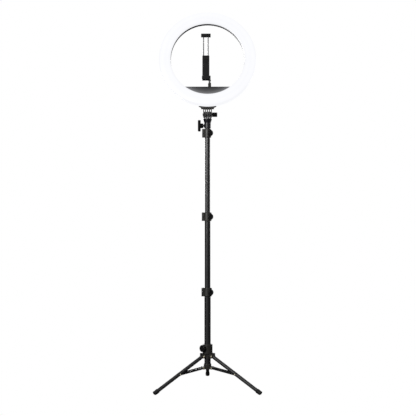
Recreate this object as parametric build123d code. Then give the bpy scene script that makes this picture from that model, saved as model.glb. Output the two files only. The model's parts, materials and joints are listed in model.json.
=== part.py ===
from build123d import *
import math
import os

# A ring light on its folding stand: 486 mm ring, tablet holder, tilt head,
# three-section pole with a fourth section pushed in, and three braced legs.
# Millimetres and degrees. +Z is up and -Y is the side that the ring lights.
# Everything is built with the pole's axis on the Z axis, and is moved at the
# end so that the origin is the middle of the whole object's footprint.

RUNNING = 0.05          # radial clearance of a shaft in its own hole
GAP = 0.4               # clearance between pieces that move past each other

# Pole sections, from the widest (1) to the narrowest (4)
TUBE_WALL = 1.0
SECTION_R = (15.5, 14.0, 12.5, 11.0)
COLLAR_HEIGHT = 42.0
COLLAR_BOTTOM = (454.0, 827.0, 1240.0)
TUBE_IN_COLLAR = 12.0
SECTION_BOTTOM = (98.0, 428.0, 797.0, 862.0)
SECTION_4_TOP = 1283.5
GLIDE_LENGTH = 20.0
COLLAR_WALL = 5.5
CLAMP_LUG = (9.0, 16.0)             # how far it stands out, and its width
CLAMP_SLIT = 2.0
COLLAR_KNOB_AZIMUTH = -53.0

# Clamp knobs
KNOB_SCREW_R = 3.0
COLLAR_KNOB = (15.0, 7.5)           # radius and thickness
LEG_KNOB = (17.0, 10.0)
KNOB_BOSS_R = 8.0

# Legs and braces
LEG_AZIMUTH = {"front_left": 210.0, "front_right": 330.0, "rear": 90.0}
PIVOT_RADIUS = 28.0
LEG_PIVOT_Z = 159.0
BRACE_PIVOT_Z = 102.0
LEG_ANGLE = 30.0                    # below the horizontal, legs open
LEG_FOLDED_ANGLE = 84.0
LEG_LENGTH = 308.0                  # pivot to the end of the foot
LEG_R = 8.9
LEG_WALL = 1.2
BRACE_RIVET_AT = 150.0              # along the leg from its pivot
FOOT_R = 10.5
FOOT_LENGTH = 26.0
FOOT_END = 7.0
STRAP_WIDTH = 9.0
STRAP_THICK = 2.0
STRAP_INSIDE = LEG_R + 0.5
RIVET_R = 2.5
RIVET_HEAD = (4.5, 1.9)             # radius and height
CASTING_R = 24.5
CASTING_TOP = 217.0
CASTING_SHOULDER = 171.0
CASTING_BOTTOM = 147.0
CASTING_CORE_R = 17.8
EAR_THICK = 3.5
EAR_REACH = 36.0
LEG_KNOB_AZIMUTH = 225.0
LEG_KNOB_Z = 199.5
BASE_BOTTOM = 95.0
BASE_TOP = 120.5
BASE_R = 18.5

# Head: local frame with its origin on the tilt axis, Z up the ring, Y to the
# back. At rest the head leans back from the vertical by HEAD_LEAN.
TILT_Z = 1353.0
HEAD_LEAN = 10.0
RING_ABOVE_TILT = 286.2
RING_R = 243.0
HOLE_R = 184.5
RING_FRONT = -25.0
RING_BACK = 11.0
SHELL = 2.0
DIFFUSER_EDGE = 8.0                 # rounding of the diffuser's outer edge
DIFFUSER_SKIRT_END = 8.5
LIP_END = -9.5
HOUSING_EDGE = -2.0
DIFFUSER_CROWN = 1.5
LED_BOARD_R = (194.0, 228.0)
LED_BOARD_Y = 3.0
LED_BOARD_THICK = 1.6
LED_ROWS_R = (203.0, 221.0)
LEDS_PER_ROW = 40
HOUSING_SCREW_R = 235.0
HOUSING_SCREWS = 8

# Control box
PANEL_TOP = 141.0
PANEL_FRONT = -17.0
PANEL_BEVEL = 5.0
BOX_WIDTH = 176.0
BOX_BOTTOM = 76.0
BOX_TOP = 146.0
BOX_DEPTH = 24.0
BOX_WALL = 2.2
CONTROL_Z = 112.0
CONTROL_KNOB_X = 52.0
CONTROL_KNOB = (11.0, 12.0)
CONTROL_SHAFT_R = 3.0
BUTTON_R = 7.0
INLET_Z = 98.0
INLET_Y = 22.0

# Tilt joint: fingers of the head's bracket between fingers of the socket
FINGER_PITCH = 4.8
FINGER_THICK = 4.62
FINGER_R = 15.0
FINGER_TOP = 29.5
BRACKET_HALF_DEPTH = 12.0
FLARE_FRONT = 4.0
FLARE_TOP = 46.0
FLARE_HALF_WIDTH = 44.0
FLARE_TIP = 1.5                     # thickness of the flare at its two ends
WEB_TOP = 38.0
BRACKET_PLATE = (32.0, 4.0)         # half width and thickness
BRACKET_SCREWS = ((-24.0, 24.0), (57.0, 68.0))
BRACKET_SCREW_R = 2.0
TILT_BOLT_R = 4.0
TILT_KNOB = (11.0, 26.0)
SOCKET_R = 16.0
SOCKET_FLARE_R = 21.0
SOCKET_BOTTOM = 1286.0
SOCKET_TOP = TILT_Z - 19.0
SPIGOT_R = 7.94
SPIGOT_TOP = 1325.0
T_SCREW_Z = 1298.0
T_SCREW_R = 4.0
T_BAR = (7.0, 56.0)
T_BAR_X = -41.0
T_HUB_R = 11.5

# Tablet holder, in the head's frame
STEM_X = 10.0
STEM_Y = -2.0
BALL_BASE_R = 7.5
BALL_BASE_TOP = 163.0
STEM_PIN_R = 4.5
KNUCKLE_Z = 176.0
KNUCKLE_R = 6.0
KNUCKLE_SCREW_R = 1.5
TONGUE_THICK = 3.8
EAR_OUTSIDE = 5.0
JAW_X = -8.5
JAW_GAP = (185.0, 400.0)
JAW_WIDTH = (39.0, 48.0)
JAW_HEIGHT = 9.0
JAW_FRONT = -31.0
JAW_LIP = (3.0, 5.0)                # thickness and height
PAD_THICK = 1.5
SPINE = (-14.0, -5.0)               # front and back faces
SPINE_TOP = 303.0
ROD_X = (-20.0, 3.0)
ROD_Y = -9.5
ROD_R = 2.5
ROD_BOTTOM = 268.0
LOCK_KNOB = (6.5, 9.0)
LOCK_Z = PANEL_TOP + 13.5


# ---------------------------------------------------------------- helpers

def rod(radius, low, high, x=0.0, y=0.0):
    """A round bar along Z."""
    return Pos(x, y, (low + high) / 2) * Cylinder(radius, high - low)


def pipe(outer, inner, low, high):
    """A round tube along Z."""
    return rod(outer, low, high) - rod(inner, low - 1, high + 1)


def bar_x(radius, low, high, y=0.0, z=0.0):
    """A round bar along X."""
    return Pos((low + high) / 2, y, z) * Rot(0, 90, 0) * Cylinder(radius, high - low)


def bar_y(radius, low, high, x=0.0, z=0.0):
    """A round bar along Y."""
    return Pos(x, (low + high) / 2, z) * Rot(90, 0, 0) * Cylinder(radius, high - low)


def block(x, y, z):
    """A box from three (low, high) pairs."""
    size = [pair[1] - pair[0] for pair in (x, y, z)]
    middle = [(pair[0] + pair[1]) / 2 for pair in (x, y, z)]
    return Pos(*middle) * Box(*size)


def turned(shape, azimuth):
    """The shape turned about the pole's axis."""
    return Rot(0, 0, azimuth) * shape


def lean(shape):
    """A shape of the head, moved from the head's frame to its place."""
    return Pos(0, 0, TILT_Z) * Rot(-HEAD_LEAN, 0, 0) * shape


def ring_turn(profile):
    """A profile drawn as (radius, depth), turned about the ring's axis."""
    face = make_face(Wire(profile))
    placed = Plane(origin=(0, 0, RING_ABOVE_TILT), x_dir=(1, 0, 0), z_dir=(0, 0, 1)) * face
    return revolve(placed, Axis((0, 0, RING_ABOVE_TILT), (0, 1, 0)), 360)


def on_ring(shape, angle):
    """A shape drawn at the ring's centre along +X, turned to its angle."""
    return Pos(0, 0, RING_ABOVE_TILT) * Rot(0, -angle, 0) * shape


def clamp_knob(radius, thick, near, tip, azimuth, height):
    """A fluted knob with its screw, pointing out from the pole's axis."""
    knob = bar_x(radius, near, near + thick)
    knob = chamfer(knob.edges().filter_by(GeomType.CIRCLE), 1.5)
    for turn in range(0, 360, 36):
        knob -= Rot(turn, 0, 0) * bar_x(2.2, near - 1, near + thick + 1, z=radius + 0.9)
    knob -= bar_x(radius * 0.55, near + thick - 1.2, near + thick + 1)
    knob += bar_x(radius * 0.4, near + thick - 2, near + thick - 0.4)
    knob += bar_x(KNOB_SCREW_R, tip, near + 1)
    return turned(Pos(0, 0, height) * knob, azimuth)


def knob_hole(depth, azimuth, height):
    """The hole that a clamp knob's screw runs in."""
    return turned(bar_x(KNOB_SCREW_R + RUNNING, 0, depth, z=height), azimuth)


def rivet(half_length, head):
    """A rivet along Y with a domed head at each end."""
    pin = bar_y(RIVET_R, -half_length, half_length)
    for side in (-1, 1):
        cap = bar_y(RIVET_HEAD[0], half_length, half_length + head)
        cap = fillet(cap.edges().filter_by(GeomType.CIRCLE).sort_by(Axis.Y)[-1], head * 0.7)
        pin += cap if side > 0 else mirror(cap, Plane.XZ)
    return pin


# ------------------------------------------------------------------- pole

def section_tops():
    """Top of each pole section."""
    return [bottom + TUBE_IN_COLLAR for bottom in COLLAR_BOTTOM] + [SECTION_4_TOP]


def section_tube(index):
    """One pole section."""
    radius = SECTION_R[index]
    return pipe(radius, radius - TUBE_WALL, SECTION_BOTTOM[index], section_tops()[index])


def glide(index):
    """The slip sleeve on the lower end of a sliding section."""
    outer = SECTION_R[index - 1] - TUBE_WALL - RUNNING
    low = SECTION_BOTTOM[index]
    return pipe(outer, SECTION_R[index], low, low + GLIDE_LENGTH)


def collar(index):
    """The clamp collar on top of a section, round the next section up."""
    low = COLLAR_BOTTOM[index]
    high = low + COLLAR_HEIGHT
    outer = SECTION_R[index] + COLLAR_WALL
    sleeve = rod(outer, low, high)
    sleeve = chamfer(sleeve.edges().filter_by(GeomType.CIRCLE), 1.6)
    lug_out, lug_width = CLAMP_LUG
    lug = block((-outer - lug_out, 0), (-lug_width / 2, lug_width / 2), (low, high))
    lug = fillet(lug.edges().filter_by(Axis.Z).group_by(Axis.X)[0], 3)
    boss = turned(bar_x(KNOB_BOSS_R, 0, outer + 1.5, z=low + COLLAR_HEIGHT / 2),
                  COLLAR_KNOB_AZIMUTH)
    body = sleeve + lug + boss
    body -= rod(SECTION_R[index], low - 1, low + TUBE_IN_COLLAR)
    body -= rod(SECTION_R[index + 1] + RUNNING, low, high + 1)
    body -= block((-outer - lug_out - 1, -SECTION_R[index + 1]),
                  (-CLAMP_SLIT / 2, CLAMP_SLIT / 2), (low + TUBE_IN_COLLAR, high + 1))
    return body - knob_hole(outer + 3, COLLAR_KNOB_AZIMUTH, low + COLLAR_HEIGHT / 2)


def collar_knob(index):
    """The knob that tightens a collar on the section inside it."""
    near = SECTION_R[index] + COLLAR_WALL + 2.0
    tip = SECTION_R[index + 1] + GAP
    height = COLLAR_BOTTOM[index] + COLLAR_HEIGHT / 2
    return clamp_knob(*COLLAR_KNOB, near, tip, COLLAR_KNOB_AZIMUTH, height)


def spigot():
    """The stud on top of section 4 that the head sits on."""
    plug = rod(SECTION_R[3] - TUBE_WALL, SECTION_4_TOP - 30, SECTION_4_TOP)
    shoulder = rod(SECTION_R[3] + 1, SECTION_4_TOP, SECTION_4_TOP + 2)
    stud = rod(SPIGOT_R, SECTION_4_TOP, SPIGOT_TOP)
    stud = chamfer(stud.edges().filter_by(GeomType.CIRCLE).sort_by(Axis.Z)[-1], 1)
    return plug + shoulder + stud


# ---------------------------------------------------------- legs and hubs

def fold():
    """Travel of the leg casting, and turn of the legs and of the braces."""
    reach = BRACE_RIVET_AT * math.cos(math.radians(LEG_ANGLE))
    drop = BRACE_RIVET_AT * math.sin(math.radians(LEG_ANGLE))
    fall = drop - (LEG_PIVOT_Z - BRACE_PIVOT_Z)
    length = math.hypot(reach, fall)
    folded = math.radians(LEG_FOLDED_ANGLE)
    up = math.acos(BRACE_RIVET_AT * math.cos(folded) / length)
    height = BRACE_RIVET_AT * math.sin(folded) + length * math.sin(up)
    return {
        "brace_length": length,
        "brace_angle": math.degrees(math.atan2(fall, reach)),
        "travel": height - (LEG_PIVOT_Z - BRACE_PIVOT_Z),
        "leg_turn": LEG_FOLDED_ANGLE - LEG_ANGLE,
        "brace_turn": math.degrees(up + math.atan2(fall, reach)),
    }


def on_leg(shape, azimuth):
    """A shape drawn along +X from the leg's pivot, put in its place."""
    return turned(Pos(PIVOT_RADIUS, 0, LEG_PIVOT_Z) * Rot(0, LEG_ANGLE, 0) * shape, azimuth)


def on_brace(shape, azimuth):
    """A shape drawn along +X from the brace's pivot, put in its place."""
    angle = fold()["brace_angle"]
    return turned(Pos(PIVOT_RADIUS, 0, BRACE_PIVOT_Z) * Rot(0, angle, 0) * shape, azimuth)


def leg_tube(azimuth):
    """A leg: a round tube with its upper end rounded about the pivot."""
    end = LEG_LENGTH - FOOT_END
    tube = bar_x(LEG_R, 0, end)
    tube += bar_x(LEG_R, -LEG_R, 0) & bar_y(LEG_R, -LEG_R, LEG_R)
    tube -= bar_x(LEG_R - LEG_WALL, LEG_R, end + 1)
    tube -= bar_y(RIVET_R + RUNNING, -LEG_R - 1, LEG_R + 1)
    return on_leg(tube, azimuth)


def foot(azimuth):
    """A rubber boot on the leg's end, flat where it stands on the floor."""
    boot = bar_x(FOOT_R, LEG_LENGTH - FOOT_LENGTH, LEG_LENGTH)
    boot = fillet(boot.edges().filter_by(GeomType.CIRCLE), 1.5)
    boot -= bar_x(LEG_R, LEG_LENGTH - FOOT_LENGTH - 1, LEG_LENGTH - FOOT_END)
    placed = on_leg(boot, azimuth)
    floor = Pos(0, 0, -50) * Box(900, 900, 100)
    return placed - floor


def strap_plate():
    """One flat strip of a brace, between its two pivots."""
    length = fold()["brace_length"]
    end_r = STRAP_WIDTH / 2 + 1
    low, high = STRAP_INSIDE, STRAP_INSIDE + STRAP_THICK
    plate = block((0, length), (low, high), (-STRAP_WIDTH / 2, STRAP_WIDTH / 2))
    for x in (0, length):
        plate += bar_y(end_r, low, high, x=x)
    plate -= bar_y(RIVET_R + RUNNING, low - 1, high + 1)
    return plate - bar_y(RIVET_R, low - 1, high + 1, x=length)


def brace(azimuth):
    """The two strips of a brace, one each side of the leg."""
    plate = strap_plate()
    pair = Compound(children=[plate, mirror(plate, Plane.XZ)])
    return on_brace(pair, azimuth)


def brace_rivets(azimuth):
    """The two ends of the rivet that joins a brace to its leg."""
    length = fold()["brace_length"]
    low, high = STRAP_INSIDE, STRAP_INSIDE + STRAP_THICK
    head_r, head = RIVET_HEAD
    cap = bar_y(head_r, high, high + head, x=length)
    cap = fillet(cap.edges().filter_by(GeomType.CIRCLE).sort_by(Axis.Y)[-1], head * 0.7)
    half = bar_y(RIVET_R, low, high, x=length) + cap
    pair = Compound(children=[half, mirror(half, Plane.XZ)])
    return on_brace(pair, azimuth)


def leg_ears():
    """The two ears that hold one leg's pivot, drawn along +X."""
    low = STRAP_INSIDE
    eye = 9.0
    plate = bar_y(eye, low, low + EAR_THICK, x=PIVOT_RADIUS, z=LEG_PIVOT_Z)
    plate += block((CASTING_CORE_R - 8, EAR_REACH), (low, low + EAR_THICK),
                   (LEG_PIVOT_Z, CASTING_SHOULDER + 3))
    plate = plate - rod(SECTION_R[0] + 1, 0, 400)
    return plate + mirror(plate, Plane.XZ)


def leg_casting():
    """The hub that slides on the lowest section and carries the legs."""
    body = rod(CASTING_R, CASTING_SHOULDER, CASTING_TOP)
    body = fillet(body.edges().filter_by(GeomType.CIRCLE), 2.5)
    body += rod(CASTING_CORE_R, CASTING_BOTTOM, CASTING_TOP - 5)
    for azimuth in LEG_AZIMUTH.values():
        body += turned(leg_ears(), azimuth)
    body += turned(bar_x(KNOB_BOSS_R + 1, 0, CASTING_R + 6, z=LEG_KNOB_Z), LEG_KNOB_AZIMUTH)
    for azimuth in LEG_AZIMUTH.values():
        body -= turned(bar_y(RIVET_R, -20, 20, x=PIVOT_RADIUS, z=LEG_PIVOT_Z), azimuth)
    body -= rod(SECTION_R[0] + RUNNING, 0, 400)
    return body - knob_hole(CASTING_R + 8, LEG_KNOB_AZIMUTH, LEG_KNOB_Z)


def leg_knob():
    """The knob that locks the leg casting on the pole."""
    tip = SECTION_R[0] + GAP
    return clamp_knob(*LEG_KNOB, CASTING_R + 6.5, tip, LEG_KNOB_AZIMUTH, LEG_KNOB_Z)


def base_casting():
    """The fixed hub at the pole's foot, with a lug for each brace."""
    body = rod(BASE_R, BASE_BOTTOM, BASE_TOP)
    body = fillet(body.edges().filter_by(GeomType.CIRCLE), 1.5)
    half = STRAP_INSIDE - GAP
    for azimuth in LEG_AZIMUTH.values():
        lug = block((SECTION_R[0] - 2, PIVOT_RADIUS), (-half, half),
                    (BRACE_PIVOT_Z - 7, BRACE_PIVOT_Z + 7))
        lug += bar_y(7, -half, half, x=PIVOT_RADIUS, z=BRACE_PIVOT_Z)
        lug -= bar_y(RIVET_R, -half - 1, half + 1, x=PIVOT_RADIUS, z=BRACE_PIVOT_Z)
        body += turned(lug, azimuth)
    return body - rod(SECTION_R[0], SECTION_BOTTOM[0], 400)


def pivot_rivets(half_length, height):
    """Three rivets, one for each leg, at the given height."""
    pin = Pos(PIVOT_RADIUS, 0, height) * rivet(half_length, RIVET_HEAD[1])
    return Compound(children=[turned(pin, azimuth) for azimuth in LEG_AZIMUTH.values()])


# ------------------------------------------------------- tilt joint, head

def finger(x, far):
    """One finger of the tilt joint, from the axis to a height or depth."""
    half = FINGER_THICK / 2
    low, high = sorted((0, far))
    plate = bar_x(FINGER_R, x - half, x + half)
    plate += block((x - half, x + half), (-BRACKET_HALF_DEPTH, BRACKET_HALF_DEPTH), (low, high))
    return plate - bar_x(TILT_BOLT_R + RUNNING, x - 5, x + 5)


def tilt_socket():
    """The socket on the spigot, with the four lower fingers on top."""
    flare_start = SOCKET_TOP - 22
    body = rod(SOCKET_R, SOCKET_BOTTOM, flare_start + 1)
    cone = Pos(0, 0, (flare_start + SOCKET_TOP - 5) / 2) * Cone(
        SOCKET_R, SOCKET_FLARE_R, SOCKET_TOP - 5 - flare_start)
    rim = rod(SOCKET_FLARE_R, SOCKET_TOP - 5, SOCKET_TOP)
    rim = chamfer(rim.edges().filter_by(GeomType.CIRCLE).sort_by(Axis.Z)[-1], 1)
    body += cone + rim
    body += bar_x(T_HUB_R - 3, -SOCKET_R - 3, 0, z=T_SCREW_Z + 1)
    for step in (-3, -1, 1, 3):
        body += Pos(0, 0, TILT_Z) * finger(step * FINGER_PITCH, SOCKET_TOP - TILT_Z - 2)
    body -= rod(SPIGOT_R + RUNNING, SOCKET_BOTTOM - 1, SPIGOT_TOP + 2)
    return body - bar_x(T_SCREW_R + RUNNING, -SOCKET_R - 10, 0, z=T_SCREW_Z)


def t_screw():
    """The T-handled screw that clamps the socket on the spigot."""
    bar_r, bar_length = T_BAR
    half = bar_length / 2
    handle = Pos(T_BAR_X, 0, T_SCREW_Z) * Cylinder(bar_r, bar_length)
    handle = fillet(handle.edges().filter_by(GeomType.CIRCLE), 3)
    hub = bar_x(T_HUB_R, T_BAR_X, -SOCKET_R - 5, z=T_SCREW_Z)
    hub = chamfer(hub.edges().filter_by(GeomType.CIRCLE), 1.2)
    screw = bar_x(T_SCREW_R, -SOCKET_R - 6, -SPIGOT_R - GAP, z=T_SCREW_Z)
    waist = block((T_BAR_X - bar_r, T_BAR_X + 2), (-bar_r * 0.6, bar_r * 0.6),
                  (T_SCREW_Z - half * 0.6, T_SCREW_Z + half * 0.6))
    return handle + hub + screw + waist


def web(x):
    """The sloping rib that joins a finger to the flare."""
    foot = FINGER_TOP - 0.5
    back = FLARE_FRONT + 1
    outline = Polyline((-BRACKET_HALF_DEPTH, foot), (back, foot), (back, WEB_TOP), close=True)
    return Pos(x, 0, 0) * extrude(Plane.YZ * make_face(outline), FINGER_THICK / 2, both=True)


def flare():
    """The saddle that spreads from the fingers and follows the ring's outside."""
    half = 4 * FINGER_PITCH + FINGER_THICK / 2
    tip = (FLARE_HALF_WIDTH, FLARE_TOP - FLARE_TIP)
    right = Line((half, FINGER_TOP), (half, FINGER_TOP + 1))
    right += ThreePointArc((half, FINGER_TOP + 1), (half + 9, FINGER_TOP + 7.5), tip)
    right += Line(tip, (FLARE_HALF_WIDTH, FLARE_TOP))
    top = Line((FLARE_HALF_WIDTH, FLARE_TOP), (-FLARE_HALF_WIDTH, FLARE_TOP))
    bottom = Line((-half, FINGER_TOP), (half, FINGER_TOP))
    outline = make_face(Curve() + [right, top, mirror(right, Plane.YZ), bottom])
    thick = BRACKET_HALF_DEPTH - FLARE_FRONT
    body = Pos(0, FLARE_FRONT + thick / 2, 0) * extrude(Plane.XZ * outline, thick / 2, both=True)
    return body - bar_y(RING_R + 0.2, -30, RING_BACK, z=RING_ABOVE_TILT)


def tilt_bracket():
    """The head's bracket: five fingers, a flare and a plate on the back."""
    body = flare()
    for step in (-4, -2, 0, 2, 4):
        body += finger(step * FINGER_PITCH, FINGER_TOP + 1) + web(step * FINGER_PITCH)
    half, thick = BRACKET_PLATE
    body += block((-half, half), (RING_BACK, RING_BACK + thick), (FINGER_TOP + 3, BOX_BOTTOM - 2))
    for x, z in bracket_screw_places():
        body -= bar_y(BRACKET_SCREW_R + 0.1, RING_BACK - 1, RING_BACK + thick + 1, x=x, z=z)
    return body


def bracket_screw_places():
    """Where the bracket is screwed to the housing."""
    across, up = BRACKET_SCREWS
    return [(x, z) for x in across for z in up]


def screw(x, z, face, shank_r, length, head_r):
    """A pan-head screw driven towards the front."""
    pin = bar_y(shank_r, face - length, face, x=x, z=z)
    head = bar_y(head_r, face, face + 1.6, x=x, z=z)
    head = fillet(head.edges().filter_by(GeomType.CIRCLE).sort_by(Axis.Y)[-1], 0.9)
    slot = Pos(x, face + 1.6, z) * (Box(head_r * 1.1, 1.4, 0.7) + Box(0.7, 1.4, head_r * 1.1))
    return pin + head - slot


def bracket_screws():
    """The four screws of the bracket."""
    face = RING_BACK + BRACKET_PLATE[1]
    places = bracket_screw_places()
    return Compound(children=[screw(x, z, face, BRACKET_SCREW_R, 7, 4.0) for x, z in places])


def tilt_bolt():
    """The bolt that the head tilts on."""
    outside = 4 * FINGER_PITCH + FINGER_THICK / 2
    pin = bar_x(TILT_BOLT_R, -outside - 0.5, outside + 9)
    head = bar_x(7, -outside - 3.2, -outside - 0.2)
    return pin + chamfer(head.edges().filter_by(GeomType.CIRCLE), 0.8)


def tilt_knob():
    """The ribbed knob on the tilt bolt's end."""
    radius, length = TILT_KNOB
    near = 4 * FINGER_PITCH + FINGER_THICK / 2 + GAP
    knob = bar_x(radius, near, near + length)
    knob = chamfer(knob.edges().filter_by(GeomType.CIRCLE), 1.2)
    for turn in range(0, 360, 20):
        groove = bar_x(1.1, near + 5, near + length + 1, z=radius + 0.4)
        knob -= Rot(turn, 0, 0) * groove
    return knob - bar_x(TILT_BOLT_R + RUNNING, near - 1, near + 10)


# ------------------------------------------------------------------- ring

def diffuser():
    """The milk-white channel over the LEDs: skirt, face and inner lip."""
    edge = DIFFUSER_EDGE
    outer, inner = RING_R, HOLE_R
    front, crown = RING_FRONT, DIFFUSER_CROWN
    face = front + crown
    middle = (outer + inner) / 2
    lip_edge = 4.0
    outside = [
        Line((outer, DIFFUSER_SKIRT_END), (outer, face + edge)),
        RadiusArc((outer, face + edge), (outer - edge, face), edge),
        ThreePointArc((outer - edge, face), (middle, front), (inner + lip_edge, face)),
        RadiusArc((inner + lip_edge, face), (inner, face + lip_edge), lip_edge),
        Line((inner, face + lip_edge), (inner, LIP_END - 0.3)),
    ]
    t = SHELL
    inside = [
        Line((inner, LIP_END - 0.3), (inner + t, LIP_END - 0.3)),
        Line((inner + t, LIP_END - 0.3), (inner + t, face + lip_edge)),
        RadiusArc((inner + t, face + lip_edge), (inner + lip_edge, face + t), -(lip_edge - t)),
        ThreePointArc((inner + lip_edge, face + t), (middle, front + t), (outer - edge, face + t)),
        RadiusArc((outer - edge, face + t), (outer - t, face + edge), -(edge - t)),
        Line((outer - t, face + edge), (outer - t, DIFFUSER_SKIRT_END)),
        Line((outer - t, DIFFUSER_SKIRT_END), (outer, DIFFUSER_SKIRT_END)),
    ]
    shell = ring_turn(outside + inside)
    for step in range(HOUSING_SCREWS):
        post = bar_y(3.2, -10, RING_BACK - SHELL - 0.5, x=HOUSING_SCREW_R)
        post += block((HOUSING_SCREW_R, outer - t + 0.5), (-10, HOUSING_EDGE - 0.5), (-1, 1))
        post -= bar_y(1.35, -2, RING_BACK, x=HOUSING_SCREW_R)
        shell += on_ring(post, screw_angle(step))
    return shell


def screw_angle(step):
    """Angle of a housing screw round the ring."""
    return (step + 0.5) * 360 / HOUSING_SCREWS


def rear_housing():
    """The ring's back: an annular tray with its inner and outer walls."""
    inner, outer = HOLE_R, RING_R - SHELL - 0.3
    t = SHELL
    back = RING_BACK
    soft = 3.0
    outline = [
        Line((inner, LIP_END), (inner, back - soft)),
        RadiusArc((inner, back - soft), (inner + soft, back), soft),
        Line((inner + soft, back), (outer - soft, back)),
        RadiusArc((outer - soft, back), (outer, back - soft), soft),
        Line((outer, back - soft), (outer, HOUSING_EDGE)),
        Line((outer, HOUSING_EDGE), (outer - t, HOUSING_EDGE)),
        Line((outer - t, HOUSING_EDGE), (outer - t, back - t)),
        Line((outer - t, back - t), (inner + t, back - t)),
        Line((inner + t, back - t), (inner + t, LIP_END)),
        Line((inner + t, LIP_END), (inner, LIP_END)),
    ]
    tray = ring_turn(outline)
    for step in range(HOUSING_SCREWS):
        tray -= on_ring(bar_y(1.6, 0, back + 1, x=HOUSING_SCREW_R), screw_angle(step))
    for x, z in bracket_screw_places():
        tray -= bar_y(BRACKET_SCREW_R + 0.1, 0, back + 1, x=x, z=z)
    return tray


def led_boards():
    """Four arcs of circuit board that carry the LEDs."""
    low, high = LED_BOARD_R
    annulus = bar_y(high, LED_BOARD_Y, LED_BOARD_Y + LED_BOARD_THICK, z=RING_ABOVE_TILT)
    annulus -= bar_y(low, LED_BOARD_Y - 1, LED_BOARD_Y + 3, z=RING_ABOVE_TILT)
    for angle in (0, 90):
        annulus -= on_ring(Box(600, 40, 3), angle)
    return Compound(children=list(annulus.solids()))


def leds():
    """Two rows of surface-mounted LEDs, one cool and one warm."""
    chips = []
    for row_r in LED_ROWS_R:
        for step in range(LEDS_PER_ROW):
            chip = Pos(row_r, LED_BOARD_Y - 0.4, 0) * Box(3.5, 0.8, 2.8)
            chips.append(on_ring(chip, (step + 0.5) * 360 / LEDS_PER_ROW))
    return Compound(children=chips)


def housing_screws():
    """The screws round the ring's back."""
    pin = screw(HOUSING_SCREW_R, 0, RING_BACK, 1.25, 9, 2.8)
    return Compound(children=[on_ring(pin, screw_angle(i)) for i in range(HOUSING_SCREWS)])


# ------------------------------------------------------------ control box

def segment(radius, top, front, back):
    """The part of a disc below a chord."""
    disc = bar_y(radius, front, back, z=RING_ABOVE_TILT)
    return disc - block((-300, 300), (front - 1, back + 1), (top, 600))


def control_panel():
    """The dark segment that closes the bottom of the ring's hole."""
    radius = HOLE_R - 0.2
    tray = segment(radius, PANEL_TOP, PANEL_FRONT, RING_BACK)
    top_edge = tray.edges().filter_by(Axis.X).group_by(Axis.Z)[-1].sort_by(Axis.Y)[0]
    tray = chamfer(top_edge, PANEL_BEVEL)
    return tray - segment(radius - 2.5, PANEL_TOP - 2.5 - PANEL_BEVEL * 0.6,
                          PANEL_FRONT + 2.5, RING_BACK + 1)


def rear_box():
    """The cover of the control electronics on the ring's back."""
    back = RING_BACK + BOX_DEPTH
    half = BOX_WIDTH / 2
    shell = block((-half, half), (RING_BACK, back), (BOX_BOTTOM, BOX_TOP))
    shell = fillet(shell.edges().filter_by(Axis.Y), 14)
    shell = fillet(shell.faces().sort_by(Axis.Y)[-1].edges(), 4)
    hollow = block((-half + BOX_WALL, half - BOX_WALL), (RING_BACK - 1, back - BOX_WALL),
                   (BOX_BOTTOM + BOX_WALL, BOX_TOP - BOX_WALL))
    shell -= fillet(hollow.edges().filter_by(Axis.Y), 12)
    for x in (-CONTROL_KNOB_X, CONTROL_KNOB_X):
        shell -= bar_y(CONTROL_SHAFT_R + 0.5, RING_BACK, back + 1, x=x, z=CONTROL_Z)
    shell -= bar_y(BUTTON_R + 0.3, RING_BACK, back + 1, z=CONTROL_Z)
    shell -= bar_x(5.1, half - 10, half + 1, y=INLET_Y, z=INLET_Z)
    for x, z in box_screw_places():
        shell += bar_y(3.5, RING_BACK, back - 1, x=x, z=z)
        shell -= bar_y(3.0, back - 3.5, back + 1, x=x, z=z)
        shell -= bar_y(1.35, RING_BACK - 1, back, x=x, z=z)
    return shell


def box_screw_places():
    """Where the control box's cover is screwed on."""
    half = BOX_WIDTH / 2 - 9
    return [(x, z) for x in (-half, half) for z in (BOX_BOTTOM + 9, BOX_TOP - 9)]


def box_screws():
    """The cover's four screws, sunk in its corners."""
    face = RING_BACK + BOX_DEPTH - 3.5
    places = box_screw_places()
    return Compound(children=[screw(x, z, face, 1.25, 16, 2.7) for x, z in places])


def driver_board():
    """The LED driver: a circuit board with its larger components."""
    y = RING_BACK + 3
    board = block((-66, 74), (y, y + 1.6), (86, 138))
    parts = [
        ((-40, -20), (90, 104), 9), ((-16, -4), (90, 100), 10), ((10, 30), (88, 102), 8),
        ((-30, -22), (124, 134), 9), ((22, 32), (124, 134), 6), ((-5, 5), (107, 117), 5),
    ]
    for x, z, height in parts:
        board += block(x, (y + 1, y + 1.6 + height), z)
    return board


def potentiometers():
    """The two controls that the knobs turn."""
    back = RING_BACK + BOX_DEPTH - BOX_WALL
    places = (-CONTROL_KNOB_X, CONTROL_KNOB_X)
    bodies = []
    for x in places:
        can = bar_y(8.5, back - 9, back - 0.3, x=x, z=CONTROL_Z)
        can -= bar_y(CONTROL_SHAFT_R + RUNNING, back - 8, back + 1, x=x, z=CONTROL_Z)
        bodies.append(can)
    return Compound(children=bodies)


def control_knob(x):
    """A control knob on its shaft."""
    radius, height = CONTROL_KNOB
    face = RING_BACK + BOX_DEPTH
    knob = bar_y(radius, face + 0.6, face + height, x=x, z=CONTROL_Z)
    knob = fillet(knob.edges().filter_by(GeomType.CIRCLE).sort_by(Axis.Y)[-1], 1.2)
    for turn in range(0, 360, 15):
        groove = bar_y(0.6, face + 2, face + height - 1.6, x=radius + 0.1)
        knob -= Pos(x, 0, CONTROL_Z) * Rot(0, turn, 0) * groove
    knob -= Pos(x, face + height, CONTROL_Z + radius * 0.6) * Box(1.2, 1.0, radius * 0.6)
    return knob + bar_y(CONTROL_SHAFT_R, face - 9, face + 1, x=x, z=CONTROL_Z)


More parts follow.
